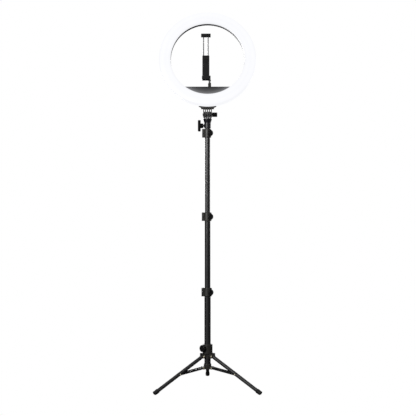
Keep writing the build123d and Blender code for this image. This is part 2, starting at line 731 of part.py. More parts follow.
def power_button():
    """The push button that switches the light."""
    face = RING_BACK + BOX_DEPTH
    cap = bar_y(BUTTON_R, face - 4, face + 2.5, z=CONTROL_Z)
    return fillet(cap.edges().filter_by(GeomType.CIRCLE).sort_by(Axis.Y)[-1], 1)


def dc_inlet():
    """The round power inlet, with its centre pin."""
    outside = BOX_WIDTH / 2 + 0.5
    sleeve = bar_x(5.0, outside - 13, outside, y=INLET_Y, z=INLET_Z)
    sleeve += bar_x(6.2, outside - 13, outside - BOX_WALL - 0.7, y=INLET_Y, z=INLET_Z)
    sleeve -= bar_x(2.9, outside - 10, outside + 1, y=INLET_Y, z=INLET_Z)
    return sleeve + bar_x(1.0, outside - 11, outside - 1.5, y=INLET_Y, z=INLET_Z)


# ---------------------------------------------------------- tablet holder

def holder_base():
    """The small post on the control box that the holder turns in."""
    post = rod(BALL_BASE_R, PANEL_TOP, BALL_BASE_TOP, STEM_X, STEM_Y)
    post = fillet(post.edges().filter_by(GeomType.CIRCLE).sort_by(Axis.Z)[-1], 2.5)
    post -= rod(STEM_PIN_R + RUNNING, PANEL_TOP + 5, BALL_BASE_TOP + 1, STEM_X, STEM_Y)
    return post - bar_y(2 + RUNNING, STEM_Y, STEM_Y + 10, x=STEM_X, z=LOCK_Z)


def holder_lock_knob():
    """The small knob that locks the post."""
    radius, length = LOCK_KNOB
    near = STEM_Y + BALL_BASE_R + 1
    knob = bar_y(radius, near, near + length, x=STEM_X, z=LOCK_Z)
    knob = chamfer(knob.edges().filter_by(GeomType.CIRCLE), 0.8)
    for turn in range(0, 360, 36):
        groove = bar_y(1, near - 1, near + length + 1, x=radius + 0.4)
        knob -= Pos(STEM_X, 0, LOCK_Z) * Rot(0, turn, 0) * groove
    return knob + bar_y(2, STEM_Y + STEM_PIN_R + GAP, near + 1, x=STEM_X, z=LOCK_Z)


def holder_stem():
    """The pin in the post, with the tongue of the holder's tilt joint."""
    pin = rod(STEM_PIN_R, PANEL_TOP + 5.5, BALL_BASE_TOP + 0.5, STEM_X, STEM_Y)
    disc = rod(5.0, BALL_BASE_TOP + 0.4, BALL_BASE_TOP + 4, STEM_X, STEM_Y)
    half = TONGUE_THICK / 2
    x = (STEM_X - half, STEM_X + half)
    tongue = block(x, (STEM_Y - 4, STEM_Y + 4), (BALL_BASE_TOP + 3, KNUCKLE_Z))
    eye = bar_x(KNUCKLE_R, *x, y=STEM_Y, z=KNUCKLE_Z)
    hole = bar_x(KNUCKLE_SCREW_R + RUNNING, STEM_X - 9, STEM_X + 9, y=STEM_Y, z=KNUCKLE_Z)
    return pin + disc + tongue + eye - hole


def knuckle_screw():
    """The screw that the holder tilts on."""
    left, right = STEM_X - EAR_OUTSIDE, STEM_X + EAR_OUTSIDE
    pin = bar_x(KNUCKLE_SCREW_R, left - 1.5, right, y=STEM_Y, z=KNUCKLE_Z)
    head = bar_x(3.2, right, right + 1.8, y=STEM_Y, z=KNUCKLE_Z)
    return pin + fillet(head.edges().filter_by(GeomType.CIRCLE).sort_by(Axis.X)[-1], 0.9)


def holder_frame():
    """The holder's spine with its lower jaw and the ears of its joint."""
    low, high = JAW_GAP[0] - PAD_THICK, SPINE_TOP
    half = JAW_WIDTH[0] / 2
    x = (JAW_X - half, JAW_X + half)
    lip_thick, lip_height = JAW_LIP
    spine = block((x[0] + 2, x[1] - 2), SPINE, (low - JAW_HEIGHT / 2, high))
    spine = fillet(spine.edges().filter_by(Axis.Y), 3)
    jaw = block(x, (JAW_FRONT, SPINE[1]), (low - JAW_HEIGHT, low))
    jaw = fillet(jaw.edges().filter_by(Axis.Y).group_by(Axis.Z)[0], 5)
    lip = block(x, (JAW_FRONT, JAW_FRONT + lip_thick), (low - 1, JAW_GAP[0] + lip_height))
    body = spine + jaw + lip
    inner = TONGUE_THICK / 2 + 0.35
    for side in (-1, 1):
        edges = sorted((STEM_X + side * inner, STEM_X + side * EAR_OUTSIDE))
        ear = bar_x(KNUCKLE_R, *edges, y=STEM_Y, z=KNUCKLE_Z)
        ear += block(edges, (SPINE[1] - 3, STEM_Y + 4), (KNUCKLE_Z, low + 14))
        body += ear
    body += block((x[1] - 6, STEM_X + EAR_OUTSIDE), (SPINE[0], STEM_Y + 4),
                  (low, low + 14))
    body -= bar_x(KNUCKLE_SCREW_R + RUNNING, STEM_X - 9, STEM_X + 9, y=STEM_Y, z=KNUCKLE_Z)
    body -= bar_x(KNUCKLE_R + 1.2, STEM_X - inner, STEM_X + inner, y=STEM_Y, z=KNUCKLE_Z)
    body -= block((STEM_X - inner, STEM_X + inner), (STEM_Y - 9, STEM_Y + 9),
                  (BALL_BASE_TOP, KNUCKLE_Z + 2))
    body -= block((STEM_X - EAR_OUTSIDE, STEM_X + EAR_OUTSIDE), (STEM_Y - 6.5, STEM_Y + 7),
                  (BALL_BASE_TOP, KNUCKLE_Z - KNUCKLE_R))
    for rod_x in ROD_X:
        body -= rod(ROD_R + RUNNING, low + 5, high + 1, rod_x, ROD_Y)
    return body


def upper_jaw():
    """The sliding jaw above the tablet."""
    low = JAW_GAP[1] + PAD_THICK
    half = JAW_WIDTH[1] / 2
    x = (JAW_X - half, JAW_X + half)
    lip_thick, lip_height = JAW_LIP
    jaw = block(x, (JAW_FRONT, SPINE[1]), (low, low + JAW_HEIGHT + 1))
    jaw = fillet(jaw.edges().filter_by(Axis.Y).group_by(Axis.Z)[-1], 3)
    lip = block(x, (JAW_FRONT, JAW_FRONT + lip_thick), (JAW_GAP[1] - lip_height - 1, low + 1))
    lip = fillet(lip.edges().filter_by(Axis.Y).group_by(Axis.Z)[0], 3)
    body = jaw + lip
    for rod_x in ROD_X:
        body -= rod(ROD_R, low - 1, low + 6, rod_x, ROD_Y)
    return body


def jaw_pad(upper):
    """The soft pad inside a jaw."""
    half = JAW_WIDTH[upper] / 2 - 2
    level = JAW_GAP[upper]
    z = (level, level + PAD_THICK) if upper else (level - PAD_THICK, level)
    return block((JAW_X - half, JAW_X + half), (JAW_FRONT + JAW_LIP[0], SPINE[0]), z)


def guide_rods():
    """The two rods that carry the upper jaw."""
    top = JAW_GAP[1] + PAD_THICK + 6
    return Compound(children=[rod(ROD_R, ROD_BOTTOM, top, x, ROD_Y) for x in ROD_X])


# --------------------------------------------------------------- assembly

def stand_nodes():
    """The stand's nodes, about the pole's axis."""
    outer = STRAP_INSIDE + STRAP_THICK + 0.35
    nodes = {
        "base_casting": base_casting(),
        "base_pivot_rivets": pivot_rivets(outer, BRACE_PIVOT_Z),
        "leg_casting": leg_casting(),
        "leg_pivot_rivets": pivot_rivets(STRAP_INSIDE + EAR_THICK, LEG_PIVOT_Z),
        "leg_lock_knob": leg_knob(),
        "spigot": spigot(),
        "tilt_socket": tilt_socket(),
        "t_handle_screw": t_screw(),
    }
    for index in range(4):
        nodes[f"pole_section_{index + 1}"] = section_tube(index)
    for index in range(3):
        nodes[f"collar_{index + 1}"] = collar(index)
        nodes[f"collar_{index + 1}_knob"] = collar_knob(index)
        nodes[f"glide_{index + 2}"] = glide(index + 1)
    for name, azimuth in LEG_AZIMUTH.items():
        nodes[f"leg_{name}"] = leg_tube(azimuth)
        nodes[f"foot_{name}"] = foot(azimuth)
        nodes[f"brace_{name}"] = brace(azimuth)
        nodes[f"brace_rivets_{name}"] = brace_rivets(azimuth)
    return nodes


def head_nodes():
    """The head's nodes, in the head's own frame."""
    return {
        "tilt_bracket": tilt_bracket(),
        "bracket_screws": bracket_screws(),
        "tilt_bolt": tilt_bolt(),
        "tilt_knob": tilt_knob(),
        "front_diffuser": diffuser(),
        "rear_housing": rear_housing(),
        "led_boards": led_boards(),
        "leds": leds(),
        "housing_screws": housing_screws(),
        "control_panel": control_panel(),
        "control_box_cover": rear_box(),
        "box_screws": box_screws(),
        "driver_board": driver_board(),
        "potentiometers": potentiometers(),
        "dimmer_knob": control_knob(-CONTROL_KNOB_X),
        "colour_knob": control_knob(CONTROL_KNOB_X),
        "power_button": power_button(),
        "dc_inlet": dc_inlet(),
        "holder_base": holder_base(),
        "holder_lock_knob": holder_lock_knob(),
        "holder_stem": holder_stem(),
        "knuckle_screw": knuckle_screw(),
        "holder_frame": holder_frame(),
        "lower_jaw_pad": jaw_pad(0),
        "upper_jaw": upper_jaw(),
        "upper_jaw_pad": jaw_pad(1),
        "guide_rods": guide_rods(),
    }


def footprint_shift(nodes):
    """How far the pole stands from the middle of the footprint, along Y."""
    boxes = [shape.bounding_box() for shape in nodes.values()]
    low = min(box.min.Y for box in boxes)
    high = max(box.max.Y for box in boxes)
    return -(low + high) / 2


def build():
    """All the nodes in their places, and the pole's place along Y."""
    nodes = stand_nodes()
    nodes.update({name: lean(shape) for name, shape in head_nodes().items()})
    pole_y = footprint_shift(nodes)
    return {name: Pos(0, pole_y, 0) * shape for name, shape in nodes.items()}, pole_y


NODES, POLE_Y = build()
os.makedirs("parts", exist_ok=True)
for node_name, node_shape in NODES.items():
    export_step(node_shape, f"parts/{node_name}.step")
print(len(NODES), "nodes, pole at y =", round(POLE_Y, 3))
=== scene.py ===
import json
import math

import bmesh
import bpy
from mathutils import Matrix, Vector


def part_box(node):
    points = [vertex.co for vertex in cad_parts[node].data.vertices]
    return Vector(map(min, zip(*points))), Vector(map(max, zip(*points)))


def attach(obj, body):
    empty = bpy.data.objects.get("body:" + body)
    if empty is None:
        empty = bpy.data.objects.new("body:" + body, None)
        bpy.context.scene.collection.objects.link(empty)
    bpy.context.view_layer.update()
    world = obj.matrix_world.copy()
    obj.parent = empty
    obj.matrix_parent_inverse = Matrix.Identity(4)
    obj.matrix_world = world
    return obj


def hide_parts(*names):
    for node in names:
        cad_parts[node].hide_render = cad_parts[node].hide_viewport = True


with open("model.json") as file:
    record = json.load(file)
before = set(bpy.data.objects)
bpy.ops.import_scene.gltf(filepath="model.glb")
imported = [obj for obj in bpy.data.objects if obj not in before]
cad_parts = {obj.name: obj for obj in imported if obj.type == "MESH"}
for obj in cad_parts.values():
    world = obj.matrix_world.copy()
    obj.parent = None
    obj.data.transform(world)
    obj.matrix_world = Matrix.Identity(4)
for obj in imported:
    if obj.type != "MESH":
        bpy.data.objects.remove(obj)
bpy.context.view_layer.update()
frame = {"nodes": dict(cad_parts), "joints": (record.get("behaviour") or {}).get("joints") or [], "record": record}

MM = 0.001
JOINTS = {joint["name"]: joint for joint in frame["joints"]}
SLOTS = {part["node"]: part["material_slot"] for part in frame["record"]["subparts"]}


# ------------------------------------------------------- places in the frame

def head_matrix():
    """The head's own frame: origin on the tilt axis, Z up the ring, Y to the back."""
    up = Vector(JOINTS["holder_pan"]["axis"])
    lean = math.atan2(up.y, up.z)
    origin = Matrix.Translation(JOINTS["head_tilt"]["pos_m"])
    return origin @ Matrix.Rotation(-lean, 4, "X")


def pole_matrix():
    """The stand's own frame: origin on the floor, at the pole's axis."""
    low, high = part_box("pole_section_1")
    middle = (low + high) / 2
    return Matrix.Translation((middle.x, middle.y, 0))


HEAD = head_matrix()
POLE = pole_matrix()


def local_points(node, matrix):
    """A node's vertices in the head's or the stand's frame."""
    back = matrix.inverted()
    return [back @ vertex.co for vertex in frame["nodes"][node].data.vertices]


def local_box(node, matrix):
    """Lowest and highest corner of a node in the head's or the stand's frame."""
    points = local_points(node, matrix)
    low = Vector([min(p[i] for p in points) for i in range(3)])
    high = Vector([max(p[i] for p in points) for i in range(3)])
    return low, high


def ring_facts():
    """The ring's centre height, radii and depths, in the head's frame."""
    low, high = local_box("front_diffuser", HEAD)
    back_low, back_high = local_box("rear_housing", HEAD)
    centre = (low.z + high.z) / 2
    inner = min(math.hypot(p.x, p.z - centre) for p in local_points("rear_housing", HEAD))
    return {"centre": centre, "outer": (high.x - low.x) / 2, "inner": inner, "front": low.y,
            "skirt": high.y, "lip": back_low.y, "back": back_high.y}


RING = ring_facts()
RING_CENTRE = HEAD @ Vector((0, 0, RING["centre"]))
RING_TURN = HEAD @ Matrix.Translation((0, 0, RING["centre"]))


# ---------------------------------------------------------------- materials

COLOUR_A, COLOUR_B = 6, 7       # the Mix node's inputs for colour
COLOUR_OUT = 2                  # and its output
PATCH_SCALE = 45                # noise scales, in cells per metre
GLOSS_SCALE = 90
RUB_SCALE = 160
MOTTLE = 0.15                   # how far a colour varies, as a share of itself
GLOSS_SPREAD = 0.06             # how far a roughness varies
EDGE_RADIUS = 0.6 * MM          # how far wear reaches in from an edge
EDGE_GREY = (0.1, 0.1, 0.105)   # black paint rubbed thin


def new_node(tree, kind, **values):
    """A shader node, with its sockets set by name and its options by keyword."""
    node = tree.nodes.new(kind)
    for key, value in values.items():
        if hasattr(node, key):
            setattr(node, key, value)
        else:
            node.inputs[key.replace("_", " ").title()].default_value = value
    return node


def new_material(name):
    """A material with its Principled shader, its tree and the object's coordinates."""
    material = bpy.data.materials.new(name)
    material.use_nodes = True
    tree = material.node_tree
    coordinates = new_node(tree, "ShaderNodeTexCoord").outputs["Object"]
    return material, tree, tree.nodes["Principled BSDF"], coordinates


def noise(tree, coordinates, scale, detail=2.0, stretch=(1, 1, 1)):
    """A noise texture over the object's own coordinates."""
    mapping = new_node(tree, "ShaderNodeMapping")
    mapping.inputs["Scale"].default_value = stretch
    tree.links.new(coordinates, mapping.inputs["Vector"])
    texture = new_node(tree, "ShaderNodeTexNoise", scale=scale, detail=detail)
    tree.links.new(mapping.outputs["Vector"], texture.inputs["Vector"])
    return texture.outputs["Fac"]


def spread(tree, value, low, high, from_low=0.3, from_high=0.7):
    """A value moved from one range to another."""
    node = new_node(tree, "ShaderNodeMapRange", from_min=from_low, from_max=from_high,
                    to_min=low, to_max=high)
    tree.links.new(value, node.inputs["Value"])
    return node.outputs["Result"]


def mixed(tree, factor, colour_a, colour_b):
    """A mix of two colours, each a socket or an RGB triple."""
    node = new_node(tree, "ShaderNodeMix", data_type="RGBA")
    tree.links.new(factor, node.inputs["Factor"])
    for place, colour in ((COLOUR_A, colour_a), (COLOUR_B, colour_b)):
        if isinstance(colour, bpy.types.NodeSocket):
            tree.links.new(colour, node.inputs[place])
        else:
            node.inputs[place].default_value = (*colour, 1)
    return node.outputs[COLOUR_OUT]


def edge_mask(tree):
    """A normal rounded over the edges, and how sharply the surface turns there, from 0 to 1."""
    flat, sharp = 0.999, 0.93
    bevel = new_node(tree, "ShaderNodeBevel", samples=4)
    bevel.inputs["Radius"].default_value = EDGE_RADIUS
    geometry = new_node(tree, "ShaderNodeNewGeometry")
    turn = new_node(tree, "ShaderNodeVectorMath", operation="DOT_PRODUCT")
    tree.links.new(bevel.outputs["Normal"], turn.inputs[0])
    tree.links.new(geometry.outputs["Normal"], turn.inputs[1])
    return bevel.outputs["Normal"], spread(tree, turn.outputs["Value"], 0, 1, flat, sharp)


def coated(name, base, rough, metallic=0.0, specular=0.5, grain=(2500, 0.06), stretch=(1, 1, 1),
           wear=None, wear_amount=0.5):
    """A painted, moulded or plated surface; its grain is a bump of (cells per metre, strength)."""
    material, tree, shader, coordinates = new_material(name)
    shader.inputs["Metallic"].default_value = metallic
    shader.inputs["Specular IOR Level"].default_value = specular
    dark = [c * (1 - MOTTLE) for c in base]
    light = [min(1, c * (1 + MOTTLE)) for c in base]
    patches = spread(tree, noise(tree, coordinates, PATCH_SCALE, 3, stretch), 0, 1)
    colour = mixed(tree, patches, dark, light)
    edge_normal, edges = edge_mask(tree)
    if wear:
        rubbed = new_node(tree, "ShaderNodeMath", operation="MULTIPLY")
        tree.links.new(edges, rubbed.inputs[0])
        rubs = spread(tree, noise(tree, coordinates, RUB_SCALE), 0, wear_amount)
        tree.links.new(rubs, rubbed.inputs[1])
        colour = mixed(tree, rubbed.outputs["Value"], colour, wear)
    tree.links.new(colour, shader.inputs["Base Color"])
    gloss = noise(tree, coordinates, GLOSS_SCALE, 3, stretch)
    roughness = spread(tree, gloss, rough - GLOSS_SPREAD, rough + GLOSS_SPREAD)
    tree.links.new(roughness, shader.inputs["Roughness"])
    grain_scale, grain_strength = grain
    bump = new_node(tree, "ShaderNodeBump")
    bump.inputs["Strength"].default_value = grain_strength
    bump.inputs["Distance"].default_value = 0.4 * MM
    tree.links.new(noise(tree, coordinates, grain_scale, 2, stretch), bump.inputs["Height"])
    tree.links.new(edge_normal, bump.inputs["Normal"])
    tree.links.new(bump.outputs["Normal"], shader.inputs["Normal"])
    return material


def ring_radius(tree, coordinates, low, high):
    """Distance from the ring's centre, as 0 at the low radius and 1 at the high one."""
    offset = new_node(tree, "ShaderNodeVectorMath", operation="SUBTRACT")
    offset.inputs[1].default_value = RING_CENTRE
    tree.links.new(coordinates, offset.inputs[0])
    length = new_node(tree, "ShaderNodeVectorMath", operation="LENGTH")
    tree.links.new(offset.outputs["Vector"], length.inputs[0])
    return spread(tree, length.outputs["Value"], 0, 1, low, high)


def ramp(tree, factor, stops):
    """A colour ramp through (position, colour) stops."""
    node = new_node(tree, "ShaderNodeValToRGB")
    elements = node.color_ramp.elements
    for _ in stops[2:]:
        elements.new(0.5)
    for element, (position, _) in zip(elements, stops):
        element.position = position
    for element, (_, colour) in zip(elements, stops):
        element.color = (*colour, 1)
    tree.links.new(factor, node.inputs["Fac"])
    return node.outputs["Color"]


def opal(name):
    """Lit opal acrylic: brightest over the two LED rows, a little greyer at its edges."""
    material, tree, shader, coordinates = new_material(name)
    shader.inputs["Base Color"].default_value = (0.03, 0.03, 0.03, 1)
    shader.inputs["Specular IOR Level"].default_value = 0.25
    across = ring_radius(tree, coordinates, RING["inner"], RING["outer"])
    levels = [(0.0, 0.86), (0.08, 0.93), (0.3, 0.965), (0.5, 0.95), (0.72, 0.97), (0.9, 0.955),
              (1.0, 0.93)]
    tint = (0.985, 0.99, 1.02)
    stops = [(place, [min(1, level * t) for t in tint]) for place, level in levels]
    cloud = spread(tree, noise(tree, coordinates, 14, 2), 0.985, 1.0)
    lit = new_node(tree, "ShaderNodeVectorMath", operation="SCALE")
    tree.links.new(ramp(tree, across, stops), lit.inputs[0])
    tree.links.new(cloud, lit.inputs["Scale"])
    tree.links.new(lit.outputs["Vector"], shader.inputs["Emission Color"])
    shader.inputs["Emission Strength"].default_value = 1.0
    roughness = spread(tree, noise(tree, coordinates, 60), 0.34, 0.44)
    tree.links.new(roughness, shader.inputs["Roughness"])
    bump = new_node(tree, "ShaderNodeBump")
    bump.inputs["Strength"].default_value = 0.05
    bump.inputs["Distance"].default_value = 0.3 * MM
    tree.links.new(noise(tree, coordinates, 1200), bump.inputs["Height"])
    tree.links.new(bump.outputs["Normal"], shader.inputs["Normal"])
    return material


def with_painted_glow(material):
    """Paints the diffuser's light on to the panel beside it: a painted glow, brightest at the ring's inner edge
    and fading towards the panel's middle.
    """
    tree = material.node_tree
    shader = tree.nodes["Principled BSDF"]
    coordinates = new_node(tree, "ShaderNodeTexCoord").outputs["Object"]
    panel_middle = 0.79 * RING["inner"]
    painted_glow_nearness = ring_radius(tree, coordinates, panel_middle, RING["inner"])
    # painted glow: emission colours standing in for the diffuser's light on the panel, from its middle out to the
    # ring's edge
    stops = [(0.0, (0.004, 0.004, 0.004)), (0.3, (0.02, 0.02, 0.021)),
             (0.62, (0.065, 0.065, 0.068)), (1.0, (0.17, 0.17, 0.178))]
    tree.links.new(ramp(tree, painted_glow_nearness, stops), shader.inputs["Emission Color"])
    shader.inputs["Emission Strength"].default_value = 1.0
    return material


def with_scuffs(material, clean, worn, extra):
    """Dulls a finish by an extra roughness that grows from a clean height down to a worn one."""
    tree = material.node_tree
    roughness = tree.nodes["Principled BSDF"].inputs["Roughness"]
    coordinates = new_node(tree, "ShaderNodeTexCoord").outputs["Object"]
    parts = new_node(tree, "ShaderNodeSeparateXYZ")
    tree.links.new(coordinates, parts.inputs["Vector"])
    total = new_node(tree, "ShaderNodeMath", operation="ADD")
    tree.links.new(roughness.links[0].from_socket, total.inputs[0])
    tree.links.new(spread(tree, parts.outputs["Z"], extra, 0, worn, clean), total.inputs[1])
    tree.links.new(total.outputs["Value"], roughness)
    return material


def tube_paint(name):
    """Black tube paint, with drawn streaks and with scuffs towards the floor."""
    paint = coated(name, (0.005, 0.005, 0.0054), 0.32, grain=(1800, 0.03), stretch=(1, 1, 0.1),
                   wear=EDGE_GREY, wear_amount=0.3)
    return with_scuffs(paint, clean=0.95, worn=0.3, extra=0.25)


MATERIALS = {
    "black_tube": tube_paint("black_tube"),
    "black_strip": coated("black_strip", (0.005, 0.005, 0.0055), 0.42, specular=0.35, wear=EDGE_GREY),
    "black_nylon": coated("black_nylon", (0.022, 0.0208, 0.0183), 0.45, specular=0.4,
                          grain=(2200, 0.22)),
    "cast_black": coated("cast_black", (0.007, 0.007, 0.01), 0.38, specular=0.36, grain=(900, 0.08),
                         wear=EDGE_GREY, wear_amount=0.4),
    "knob_black": coated("knob_black", (0.005, 0.005, 0.0051), 0.5, specular=0.25,
                         grain=(2600, 0.18)),
    "handle_black": coated("handle_black", (0.002, 0.002, 0.002), 0.55, specular=0.1,
                           grain=(2600, 0.18)),
    "rivet_brass": coated("rivet_brass", (0.8, 0.74, 0.56), 0.32, metallic=0.85, grain=(1500, 0.1)),
    "rubber_black": coated("rubber_black", (0.011, 0.011, 0.0113), 0.66, specular=0.25,
                           grain=(1400, 0.3)),
    "pad_rubber": coated("pad_rubber", (0.018, 0.018, 0.0185), 0.72, specular=0.25,
                         grain=(1400, 0.35)),
    "glide_plastic": coated("glide_plastic", (0.72, 0.72, 0.7), 0.4),
    "bright_steel": coated("bright_steel", (0.62, 0.62, 0.63), 0.3, metallic=1.0,
                           grain=(900, 0.02)),
    "screw_steel": coated("screw_steel", (0.08, 0.08, 0.085), 0.3, metallic=0.8,
                          wear=(0.4, 0.4, 0.4)),
    "housing_black": coated("housing_black", (0.013, 0.013, 0.0145), 0.5, specular=0.42,
                            grain=(2000, 0.25)),
    # the panel's material carries a painted glow of the diffuser's light near the ring's inner edge
    "panel_grey": with_painted_glow(coated("panel_grey", (0.016, 0.016, 0.017), 0.36, grain=(2400, 0.1))),
    "holder_black": coated("holder_black", (0.007, 0.007, 0.0074), 0.46, specular=0.25,
                           grain=(2400, 0.15)),
    "board_white": coated("board_white", (0.8, 0.81, 0.79), 0.4),
    "board_green": coated("board_green", (0.02, 0.14, 0.06), 0.35),
    "led_chip": coated("led_chip", (0.85, 0.66, 0.16), 0.35),
    "component_metal": coated("component_metal", (0.5, 0.5, 0.5), 0.32, metallic=0.9),
    "diffuser_white": opal("diffuser_white"),
    "marking": coated("marking", (0.6, 0.6, 0.6), 0.55, grain=(3000, 0.1)),
    "indicator": coated("indicator", (0.03, 0.3, 0.06), 0.2, specular=0.7, grain=(600, 0.02)),
}
DEEPER_BLACK = {"t_handle_screw": "handle_black", "tilt_knob": "handle_black"}


def dress_frame():
    """Puts the material of its slot on every CAD node; the two head locks are a deeper black."""
    for name, node in frame["nodes"].items():
        for place in node.material_slots:
            place.material = MATERIALS[DEEPER_BLACK.get(name, SLOTS[name])]


dress_frame()


# ------------------------------------------------------------- mesh builders

SHARP_ANGLE = math.radians(35)


def add_piece(name, body, finish, make, replaces=()):
    """An object whose mesh is filled by make(bm), riding on a body."""
    bm = bmesh.new()
    make(bm)
    bmesh.ops.recalc_face_normals(bm, faces=bm.faces)
    mesh = bpy.data.meshes.new(name)
    bm.to_mesh(mesh)
    bm.free()
    mesh.materials.append(MATERIALS[finish])
    mesh.shade_smooth()
    mesh.set_sharp_from_angle(angle=SHARP_ANGLE)
    piece = bpy.data.objects.new(name, mesh)
    bpy.context.scene.collection.objects.link(piece)
    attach(piece, body)
    if replaces:
        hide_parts(*replaces)


def lathe(bm, place, profile, steps, start=0.0, turn=math.tau):
    """Turns a closed outline of (radius, height) points about the Z axis of a place.

    Less than a full turn leaves two ends, which are capped.
    """
    closed = turn >= math.tau
    count = steps if closed else steps + 1
    rings = []
    for step in range(count):
        angle = start + turn * step / steps
        across, up = math.cos(angle), math.sin(angle)
        rings.append([bm.verts.new(place @ Vector((r * across, r * up, h))) for r, h in profile])
    for step in range(steps):
        here, there = rings[step], rings[(step + 1) % count]
        for i in range(len(profile)):
            j = (i + 1) % len(profile)
            bm.faces.new((here[i], here[j], there[j], there[i]))
    if not closed:
        bm.faces.new(rings[0])
        bm.faces.new(list(reversed(rings[-1])))


def rounded_rect(width, height, radius, steps=4):
    """Points round a rectangle with rounded corners, centred on the origin."""
    points = []
    for quarter, (sx, sy) in enumerate(((1, 1), (-1, 1), (-1, -1), (1, -1))):
        cx, cy = sx * (width / 2 - radius), sy * (height / 2 - radius)
        for step in range(steps + 1):
            angle = math.radians(90 * (quarter + step / steps))
            points.append((cx + radius * math.cos(angle), cy + radius * math.sin(angle)))
    return points


def raised(bm, place, outline, height, soft=0.0):
    """A flat-topped pad of an outline on the XY plane of a place, with a softened top."""
    levels = [(0.0, 0.0), (height, 0.0)]
    if soft:
        levels = [(0.0, 0.0), (height - soft, 0.0), (height, soft)]
    loops = []
    for z, inset in levels:
        loop = []
        for x, y in outline:
            length = math.hypot(x, y) or 1.0
            share = 1 - inset / length
            loop.append(bm.verts.new(place @ Vector((x * share, y * share, z))))
        loops.append(loop)
    count = len(outline)
    for lower, upper in zip(loops, loops[1:]):
        for i in range(count):
            j = (i + 1) % count
            bm.faces.new((lower[i], lower[j], upper[j], upper[i]))
    bm.faces.new(loops[-1])
    bm.faces.new(list(reversed(loops[0])))


def arc(cx, cy, radius, first, last, steps=10):
    """Points on an arc, from one angle to another in degrees."""
    angles = [math.radians(first + (last - first) * i / steps) for i in range(steps + 1)]
    return [(cx + radius * math.cos(a), cy + radius * math.sin(a)) for a in angles]


def facing(origin, direction, up=(0, 0, 1)):
    """A place at an origin, with its Z axis along a direction and its Y axis near up."""
    z = Vector(direction).normalized()
    x = Vector(up).cross(z).normalized()
    y = z.cross(x)
    return Matrix.Translation(origin) @ Matrix((x, y, z)).transposed().to_4x4()


def moved(place, x, y, z=0.0):
    """A place shifted along its own axes."""
    return place @ Matrix.Translation((x, y, z))


def spun(place, angle):
    """A place turned about its own Z axis, by an angle in radians."""
    return place @ Matrix.Rotation(angle, 4, "Z")


# --------------------------------------------------------------------- ring

# The Z axis of this place runs along the ring's axis, to the back.
RING_AXIS = RING_TURN @ Matrix.Rotation(math.radians(-90), 4, "X")
SCREW_COUNT = 8


def diffuser_shell(bm):
    """The opal channel: a skirt with a step, a rolled edge, a crowned face and an inner lip."""
    step, band, wall = 0.4 * MM, 3 * MM, 2 * MM
    edge, lip, crown = 9 * MM, 4.5 * MM, 1.5 * MM
    side_gap, end_gap = 0.4 * MM, 0.3 * MM
    outer, inner, front = RING["outer"], RING["inner"] + side_gap, RING["front"]
    skirt, lip_end = RING["skirt"], RING["lip"] - end_gap
    face = front + crown
    middle = (outer - edge + inner + lip) / 2
    span = middle - inner - lip
    rise = [(middle + span * t, front + crown * t * t) for t in [1 - i / 8 for i in range(17)]]
    rolled = arc(outer - edge, face + edge, edge, 0, -90)
    outside = [(outer, skirt), (outer, skirt - band), (outer - step, skirt - band - step)]
    outside += [(outer - step, face + edge)] + rolled[1:]
    outside += rise[1:-1]
    outside += arc(inner + lip, face + lip, lip, 270, 180)
    outside += [(inner, lip_end)]
    inside = [(inner + wall, lip_end), (inner + wall, face + lip)]
    inside += [(inner + lip, face + wall), (middle, front + wall), (outer - edge, face + wall)]
    inside += [(outer - wall, face + edge), (outer - wall, skirt)]
    lathe(bm, RING_AXIS, outside + inside, 256)


add_piece("diffuser_shell", "head", "diffuser_white", diffuser_shell, ["front_diffuser"])


def on_back(angle, radius):
    """A place on the ring's back face, with X pointing away from the ring's centre."""
    return moved(spun(RING_AXIS, math.radians(angle)), radius, 0, RING["back"])


def housing_relief(bm):
    """Two raised rims round the ring's back."""
    foot, top = RING["back"] - 0.2 * MM, RING["back"] + 0.7 * MM
    for radius in (RING["inner"] + 7 * MM, RING["outer"] - 9 * MM):
        rim = [(radius - MM, foot), (radius - 0.7 * MM, top), (radius + 0.7 * MM, top), (radius + MM, foot)]
        lathe(bm, RING_AXIS, rim, 192)


def housing_louvres(bm):
    """Groups of louvre bars over the air slots in the ring's back."""
    middle = (RING["inner"] + RING["outer"]) / 2
    pitch = 1.35
    bar = rounded_rect(24 * MM, 1.8 * MM, 0.85 * MM)
    for group in (-90, -45, 0, 180, 225):
        for step in range(-4, 5):
            raised(bm, on_back(group + step * pitch, middle), bar, 0.9 * MM, 0.25 * MM)


def screw_rims(bm):
    """A raised rim round each screw of the ring's back, a little off centre to clear the edge."""
    reach = [math.hypot(p.x, p.z - RING["centre"]) for p in local_points("housing_screws", HEAD)]
    radius = (min(reach) + max(reach)) / 2 - 0.4 * MM
    boss, foot, top = 4.1 * MM, -0.2 * MM, 0.8 * MM
    rim = [(boss - 0.8 * MM, foot), (boss - 0.6 * MM, top), (boss - 0.1 * MM, top), (boss + 0.1 * MM, foot)]
    for step in range(SCREW_COUNT):
        lathe(bm, on_back((step + 0.5) * 360 / SCREW_COUNT, radius), rim, 32)


add_piece("housing_relief", "head", "housing_black", housing_relief)
add_piece("housing_louvres", "head", "housing_black", housing_louvres)
add_piece("screw_rims", "head", "housing_black", screw_rims)


# -------------------------------------------------------------- control box

COVER_LOW, COVER_HIGH = local_box("control_box_cover", HEAD)
DIAL_LOW, DIAL_HIGH = local_box("dimmer_knob", HEAD)
DIAL_X = abs(DIAL_LOW.x + DIAL_HIGH.x) / 2
DIAL_Z = (DIAL_LOW.z + DIAL_HIGH.z) / 2
# On the cover's back face, between the dials: X to the right seen from behind, Y up.
BOX_PLACE = HEAD @ facing(Vector((0, COVER_HIGH.y, DIAL_Z)), (0, 1, 0))
PRINT = 0.12 * MM


def on_print(x, y):
    """A place on the cover's back face, half a print's thickness deep."""
    return moved(BOX_PLACE, x, y, -PRINT / 2)


